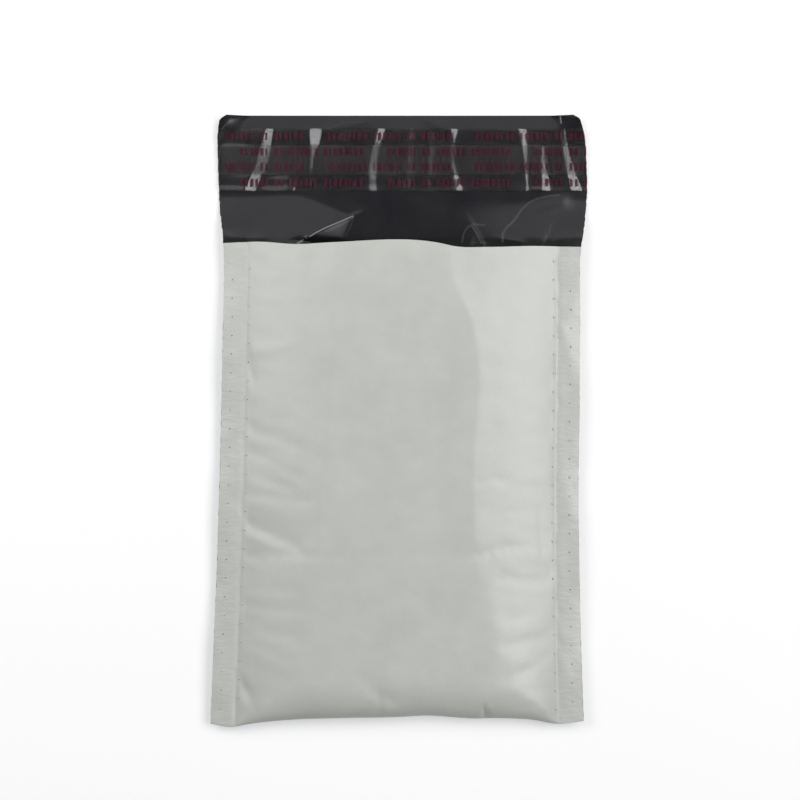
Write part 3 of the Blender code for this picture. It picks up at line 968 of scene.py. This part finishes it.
lining_columns = np.linspace(-WELD_LINE + LINING_EDGE, WELD_LINE - LINING_EDGE, LINING_COLUMNS)
lining_rows = [0.0] + even(0, 1, LINING_ROWS) + even(1, 2, LINING_FOLD_ROWS)
lining_rows += even(2, LINING_END, LINING_ROWS)
lining = bent_sheet("bubble_film", lining_columns, lining_rows, lining_point)
print("lining grid:", len(lining_columns), "by", len(lining_rows))

# %% Give it a clear finish
CLEAR_GLOSS_SWING = 0.06
CLEAR_SHINE = 1.03


def clear_plastic(name, tint, roughness, ior, stuck_roughness=0.0):
    """A thin clear plastic: transmission, a faintly uneven gloss, duller where it is stuck."""
    made, nodes, links = new_material(name)
    shader = nodes["Principled BSDF"]
    shader.inputs["Transmission Weight"].default_value = 1.0
    shader.inputs["IOR"].default_value = ior
    blotches = add_node(nodes, "Group", {
        "Colour A": (*tint, 1), "Colour B": (*(min(1.0, CLEAR_SHINE * c) for c in tint), 1),
    }, node_tree=BLOTCHES)
    gloss = add_node(nodes, "MapRange", {
        "To Min": roughness, "To Max": roughness + CLEAR_GLOSS_SWING,
    })
    stuck = add_node(nodes, "Attribute", attribute_name="stuck")
    dull = add_node(nodes, "Math", {1: stuck_roughness}, operation="MULTIPLY_ADD")
    link_up(
        links,
        (blotches, "Colour", shader, "Base Color"), (blotches, "Mask", gloss, "Value"),
        (stuck, "Fac", dull, 0), (gloss, "Result", dull, 2),
        (dull, "Value", shader, "Roughness"),
    )
    return made


clear_lining = clear_plastic("bubble film", (0.90, 0.93, 0.93), roughness=0.12, ior=1.35)
finish_piece(lining, "bubble_film", clear_lining)
thicken(lining, LINING_THICKNESS)
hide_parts("bubble_lining")
print("bubble lining:", len(lining.data.polygons), "faces")

# %% [markdown]
# ## The adhesive and its release strip
#
# A band of hot-melt adhesive runs across the flap, and a clear strip covers it. The strip is the
# glossiest surface of the envelope, so its waves show as bright streaks. The film under it lies
# nearly flat, and only the strip takes the waves: each one has a short steep side, which mirrors
# the right lamp, and a long even one, which doesn't.

# %% Make the adhesive band
GLUE_LIFT = 0.00013
GLUE_THICKNESS = 0.00010
GLUE_ROWS = 15


def on_flap(u, along, lift):
    y = MOUTH_Y + along
    x = across(u, y)
    return np.stack([x, y, flap_level(u, x, along) + lift], axis=-1)


def glue_point(u, along):
    return on_flap(u, along, GLUE_LIFT)


glue_rows = np.linspace(GLUE_LOW.y - MOUTH_Y, GLUE_HIGH.y - MOUTH_Y, GLUE_ROWS)
glue = bent_sheet("hot_melt_band", columns[1:-1], glue_rows, glue_point)
hot_melt = film_finish(
    "hot melt", (0.014, 0.013, 0.013), (0.020, 0.018, 0.018), roughness=0.30, grain=0.5, bump=0.4
)
finish_piece(glue, "adhesive", hot_melt)
thicken(glue, GLUE_THICKNESS)
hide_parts("adhesive_strip")
print("adhesive band:", len(glue.data.polygons), "faces")

# %% The waves of the release strip
STREAKS = (
    # left and right edge at the strip's top, middle and bottom, then the tilt in three bands
    (-0.0570, -0.0546, -0.0570, -0.0562, -0.0572, -0.0566, 0.94, 0.0, 0.0),
    (-0.0424, -0.0393, -0.0451, -0.0409, -0.0489, -0.0446, 1.16, 1.16, 1.26),
    (-0.0330, -0.0322, -0.0339, -0.0321, -0.0355, -0.0327, 0.30, 1.06, 1.18),
    (-0.0288, -0.0230, -0.0284, -0.0268, -0.0290, -0.0275, 1.22, 1.14, 0.98),
    (-0.0074, -0.0042, -0.0098, -0.0069, -0.0106, -0.0069, 1.24, 1.12, 1.10),
    (0.0027, 0.0051, 0.0020, 0.0042, 0.0009, 0.0035, 1.20, 1.10, 1.16),
    (0.0088, 0.0106, 0.0087, 0.0105, 0.0085, 0.0101, 1.12, 1.04, 1.08),
    (0.0156, 0.0181, 0.0154, 0.0172, 0.0170, 0.0200, 1.14, 1.00, 1.00),
    (0.0366, 0.0396, 0.0384, 0.0400, 0.0388, 0.0404, 1.08, 1.04, 1.10),
    (0.0441, 0.0449, 0.0436, 0.0455, 0.0439, 0.0473, 0.50, 1.10, 1.18),
    (0.0495, 0.0511, 0.0510, 0.0535, 0.0530, 0.0572, 1.00, 0.98, 1.08),
)
STREAK_TILT = 0.205
STREAK_TILT_FALL = 0.9
STREAK_SOFTNESS = 0.00016
SWELL = 0.013
BAND_BLEND = 0.0020
WAVE_LIFT = 0.0005


def soft_step(x, start, end):
    """0 before the start and 1 after the end, straight between them, with round corners."""
    lift = [0.5 * (x - p + np.sqrt((x - p) ** 2 + STREAK_SOFTNESS**2)) for p in (start, end)]
    return (lift[0] - lift[1]) / (end - start)


def strip_waves(x, y):
    """The strip's waves: each streak is a short steep fall, halfway through a long even rise."""
    top, low = LINER_HIGH.y, LINER_LOW.y
    in_top = smooth((y - GLUE_HIGH.y) / BAND_BLEND + 0.5)
    in_low = smooth((GLUE_LOW.y - y) / BAND_BLEND + 0.5)
    level = WAVE_LIFT
    stops = (low, (low + top) / 2, top)
    for *edge_xs, tilt_top, tilt_middle, tilt_low in STREAKS:
        left = curve_through(list(zip(stops, edge_xs[4::-2])), y)
        right = curve_through(list(zip(stops, edge_xs[::-2])), y)
        tilt = tilt_middle + (tilt_top - tilt_middle) * in_top + (tilt_low - tilt_middle) * in_low
        middle = (left + right) / 2
        share = np.clip((x - middle) / (2 * SWELL) + 0.5, 0.0, 1.0)
        height = tilt * (STREAK_TILT - STREAK_TILT_FALL * left) / (1 / (right - left) - 0.5 / SWELL)
        level = level + height * (share - soft_step(x, left, right))
    return np.maximum(level, 0.0)


# %% Make the release strip
STRIP_LIFT = 0.00028
STRIP_BILLOW = 0.00006
STRIP_BILLOW_BLEND = 0.002
STRIP_THICKNESS = 0.00006
STRIP_ROWS = 45
STUCK_BLEND = 0.0004


def strip_point(u, along):
    """The release strip: held down along the adhesive, and a little loose beside it."""
    glue_low, glue_high = GLUE_LOW.y - MOUTH_Y, GLUE_HIGH.y - MOUTH_Y
    off_glue = np.clip(np.maximum(glue_low - along, along - glue_high), 0.0, None)
    loose = smooth(off_glue / STRIP_BILLOW_BLEND)
    y = MOUTH_Y + along
    return on_flap(u, along, STRIP_LIFT + STRIP_BILLOW * loose + strip_waves(across(u, y), y))


strip_rows = np.linspace(LINER_LOW.y - MOUTH_Y, LINER_HIGH.y - MOUTH_Y, STRIP_ROWS)
strip_columns = np.sort(np.concatenate([columns, (columns[1:] + columns[:-1]) / 2]))
strip = bent_sheet("release_strip", strip_columns, strip_rows, strip_point)
strip_film = clear_plastic(
    "release film", (0.97, 0.97, 0.97), roughness=0.07, ior=1.42, stuck_roughness=0.05
)
finish_piece(strip, "release_film", strip_film)
thicken(strip, STRIP_THICKNESS)
strip_y = plan_places(strip)[1]
over_low = smooth((strip_y - GLUE_LOW.y) / STUCK_BLEND + 0.5)
under_high = smooth((GLUE_HIGH.y - strip_y) / STUCK_BLEND + 0.5)
stuck = strip.data.attributes.new("stuck", "FLOAT", "POINT")
stuck.data.foreach_set("value", over_low * under_high)
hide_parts("release_liner")
print("release strip:", len(strip.data.polygons), "faces and", len(STREAKS), "streaks")

# %% [markdown]
# ## The print on the release strip
#
# Four lines of dark red marks run along the strip. They are plain bars in groups, with no
# lettering. Each bar is a small patch of the strip's own surface, lifted by a hair, so it
# follows the waves. Ink on film has little gloss, so its specular level is low.

# %% Make the printed marks
MARK_HEIGHT = 0.0023
MARK_PITCH = 0.00158
MARK_GROUPS = (6, 2, 6, 8)
GROUP_GAP = 0.00135
PHRASE_PITCH = 0.0460
PRINT_LINES = (
    (0.0884, -0.0226, -1),
    (0.0836, -0.0040, 1),
    (0.0790, -0.0226, -1),
    (0.0740, -0.0040, 1),
)
PHRASES = range(-3, 4)
INK_LIFT = 0.00005
INK_THICKNESS = 0.00002
INK_GLOSS = 0.2
MARK_WIDTHS = (0.00090, 0.00062, 0.00098, 0.00078, 0.00094, 0.00056, 0.00084)


def marks_in_line(first_x, direction):
    """The left end and the width of each bar along one printed line."""
    for phrase in PHRASES:
        x = first_x + phrase * PHRASE_PITCH
        number = 0
        for count in MARK_GROUPS[::direction]:
            for _ in range(count):
                yield x, MARK_WIDTHS[number % len(MARK_WIDTHS)]
                x += MARK_PITCH
                number += 1
            x += GROUP_GAP


def add_bar(bm, left, y, width):
    """One bar, with enough points to follow the strip."""
    patch = bmesh.ops.create_grid(bm, x_segments=3, y_segments=5, size=0.5)["verts"]
    for vert in patch:
        vert.co = Vector((left + (vert.co.x + 0.5) * width, y + vert.co.y * MARK_HEIGHT, 0.0))


def flat_print():
    bm = bmesh.new()
    for y, first_x, direction in PRINT_LINES:
        left, right = edges(y)
        for x, width in marks_in_line(first_x, direction):
            if left < x < right - width:
                add_bar(bm, x, y, width)
    return mesh_object("release_print", bm)


def lay_on_strip(piece):
    """Drops a flat piece onto the release strip."""
    places = vertex_places(piece)
    x, y = places[:, 0], places[:, 1]
    left, right = edges(y)
    u = (x - (left + right) / 2) * 2 * HALF_WIDTH / (right - left)
    places[:, 2] = strip_point(u, y - MOUTH_Y)[:, 2] + INK_LIFT
    move_vertices(piece, places)


ink = flat_print()
lay_on_strip(ink)
red_ink = film_finish(
    "red ink", (0.042, 0.002, 0.010), (0.058, 0.004, 0.016), roughness=0.42, grain=0.4, bump=0.3
)
red_ink.node_tree.nodes["Principled BSDF"].inputs["Specular IOR Level"].default_value = INK_GLOSS
finish_piece(ink, "release_film", red_ink)
thicken(ink, INK_THICKNESS)
print("printed bars:", len(ink.data.polygons), "faces")

# %% [markdown]
# ## The pin holes
#
# The machine that seals the sides also pricks them, in two staggered rows on each seam. A pin
# leaves a dark hole with a raised lip. At this size a small ring with a dark disc inside it
# reads as the hole.

# %% Make the pin holes
PIN_PITCH = 0.0058
PIN_RADIUS = 0.00022
LIP_RADIUS = 0.00052
LIP_HEIGHT = 0.00007
PIN_SIDES = 10
PIN_ROWS = (
    (-1, 0.0029, 0.0113), (-1, 0.0086, 0.0080), (1, 0.0087, 0.0057), (1, 0.0031, 0.0149),
)
PIN_END = 0.0030
PIN_SCATTER = 0.00015
PIN_SIZE, PIN_SIZE_SWING = 0.85, 0.5
LIP_CREST, PIT_LEVEL = 0.7, 0.3
FRONT_END, FRONT_STEPS = 0.9999, 600


def pin_places():
    """Each pin hole's place across the web, its y and its relative size, a little scattered."""
    for side, inset, first in PIN_ROWS:
        y = MOUTH_Y - first
        while y > BOTTOM_Y + PIN_END:
            shift = PIN_SCATTER * noise.noise(Vector((1000 * y, inset, side)))
            size = PIN_SIZE + PIN_SIZE_SWING * noise.noise(Vector((2300 * y, 3 * inset, side)))
            yield side * (HALF_WIDTH - inset - shift), y, size
            y -= PIN_PITCH


def film_height(u, y):
    """The height of the front film at one place, from the function that bent it."""
    along = np.linspace(0.0, FRONT_END, FRONT_STEPS)
    points = web_point(np.full(along.shape, u), along)
    return float(np.interp(y, points[::-1, 1], points[::-1, 2]))


def pin_hole_meshes():
    """One mesh of lips and one of dark discs, both lying on the film."""
    lips, pits = bmesh.new(), bmesh.new()
    pit_rise = PIT_LEVEL * LIP_HEIGHT
    profile = ((LIP_RADIUS, 0.0), (LIP_CREST * LIP_RADIUS, LIP_HEIGHT), (PIN_RADIUS, pit_rise))
    for u, y, size in pin_places():
        x = float(across(np.array([u]), np.array([y]))[0])
        z = film_height(u, y) + FILM / 2
        rings = []
        for radius, rise in profile:
            ring = []
            for i in range(PIN_SIDES):
                turn = 2 * math.pi * i / PIN_SIDES
                place = (x + radius * math.cos(turn), y + radius * math.sin(turn), z + rise)
                ring.append(lips.verts.new(place))
            rings.append(ring)
        for outer, inner in zip(rings, rings[1:]):
            for i in range(PIN_SIDES):
                j = (i + 1) % PIN_SIDES
                lips.faces.new((outer[i], outer[j], inner[j], inner[i]))
        disc = bmesh.ops.create_circle(
            pits, cap_ends=True, segments=PIN_SIDES, radius=size * PIN_RADIUS
        )
        for vert in disc["verts"]:
            vert.co += Vector((x, y, z + pit_rise))
    return lips, pits


lips, pits = pin_hole_meshes()
pin_lips = mesh_object("pin_lips", lips)
pin_pits = mesh_object("pin_holes", pits)
finish_piece(pin_lips, "pale_film", pale_film)
hole_shade = film_finish(
    "hole shade", (0.060, 0.064, 0.070), (0.095, 0.099, 0.106), roughness=0.6, grain=0.2, bump=0.2
)
finish_piece(pin_pits, "pale_film", hole_shade)
print("pin holes:", len(pin_pits.data.polygons))

# %% [markdown]
# ## The table, the lamps and the camera
#
# The envelope lies on a white table and is seen from straight above. The table glows only for
# the camera, for reflections and through clear film, so its white doesn't spill onto the rest.
# There are three lamps: a large soft box at the right brightens that side and gives the streaks
# of the release strip, a small one at the left is weaker, and a wide panel beyond the flap
# lights the faces that look that way. The fold at the near end faces away and stays darker.

# %% Make the table
SWEEP_SIZE = 6.0
SWEEP_FLAT = 1.7
SWEEP_HEIGHT = 2.2
TABLE_LEVEL = -0.0002
TABLE_COLOUR = (0.64, 0.63, 0.615)
TABLE_GLOW = (0.41, 0.42, 0.435)


def floor_material():
    made, nodes, links = new_material("table white")
    shader = nodes["Principled BSDF"]
    shader.inputs["Base Color"].default_value = (*TABLE_COLOUR, 1)
    shader.inputs["Roughness"].default_value = 0.9
    shader.inputs["Specular IOR Level"].default_value = 0.0
    glow = add_node(nodes, "Emission", {"Color": (*TABLE_GLOW, 1)})
    path = add_node(nodes, "LightPath")
    seen = add_node(nodes, "Math", operation="MAXIMUM")
    seen_too = add_node(nodes, "Math", operation="MAXIMUM")
    both = add_node(nodes, "AddShader")
    link_up(
        links,
        (path, "Is Camera Ray", seen, 0), (path, "Is Glossy Ray", seen, 1),
        (seen, "Value", seen_too, 0), (path, "Is Transmission Ray", seen_too, 1),
        (seen_too, "Value", glow, "Strength"),
        (shader, "BSDF", both, 0), (glow, "Emission", both, 1),
        (both, "Shader", nodes["Material Output"], "Surface"),
    )
    return made


def sweep():
    """The table and its backdrop as one sheet, flat in the middle and turned up all round."""
    bpy.ops.mesh.primitive_grid_add(x_subdivisions=60, y_subdivisions=60, size=SWEEP_SIZE)
    made = bpy.context.object
    made.name = "table"
    for vert in made.data.vertices:
        out = math.hypot(vert.co.x, vert.co.y) - SWEEP_FLAT
        rise = min(max(out / (SWEEP_SIZE / 2 - SWEEP_FLAT), 0.0), 1.0)
        vert.co.z = SWEEP_HEIGHT * rise * rise
    made.data.shade_smooth()
    made.data.materials.append(floor_material())
    made.location.z = TABLE_LEVEL
    return made


sweep()

# %% Light it
def soft_box(name, place, size, power, target=(0, 0, 0)):
    """A rectangular lamp that points at the target."""
    lamp = bpy.data.lights.new(name, "AREA")
    lamp.shape = "RECTANGLE"
    lamp.size, lamp.size_y = size
    lamp.energy = power
    made = bpy.data.objects.new(name, lamp)
    made.location = place
    made.rotation_euler = (Vector(target) - Vector(place)).to_track_quat("-Z", "Y").to_euler()
    bpy.context.scene.collection.objects.link(made)
    return made


soft_box("right box", place=(0.60, 0.12, 0.76), size=(0.82, 0.50), power=6.3)
soft_box("left box", place=(-0.38, 0.19, 0.43), size=(0.40, 0.30), power=1.45)
soft_box("far panel", place=(0.0, 0.66, 1.0), size=(1.4, 0.76), power=2.6)

world = bpy.data.worlds.new("room")
world.use_nodes = True
room_light = world.node_tree.nodes["Background"].inputs
room_light["Color"].default_value = (0.97, 0.96, 1.0, 1)
room_light["Strength"].default_value = 0.13
bpy.context.scene.world = world
bpy.context.scene.view_settings.view_transform = "Standard"

# %% Place the camera
PICTURE_WIDTH = 0.2468
PICTURE_MIDDLE = (-0.00015, 0.0062)
FILM_PLANE = 0.008
LENS = 85.0
SENSOR = 36.0

camera_data = bpy.data.cameras.new("camera")
camera_data.lens = LENS
camera_data.sensor_width = SENSOR
camera = bpy.data.objects.new("camera", camera_data)
camera.location = (*PICTURE_MIDDLE, FILM_PLANE + PICTURE_WIDTH * LENS / SENSOR)
bpy.context.scene.collection.objects.link(camera)
bpy.context.scene.camera = camera
print("camera height:", round(camera.location.z, 3))
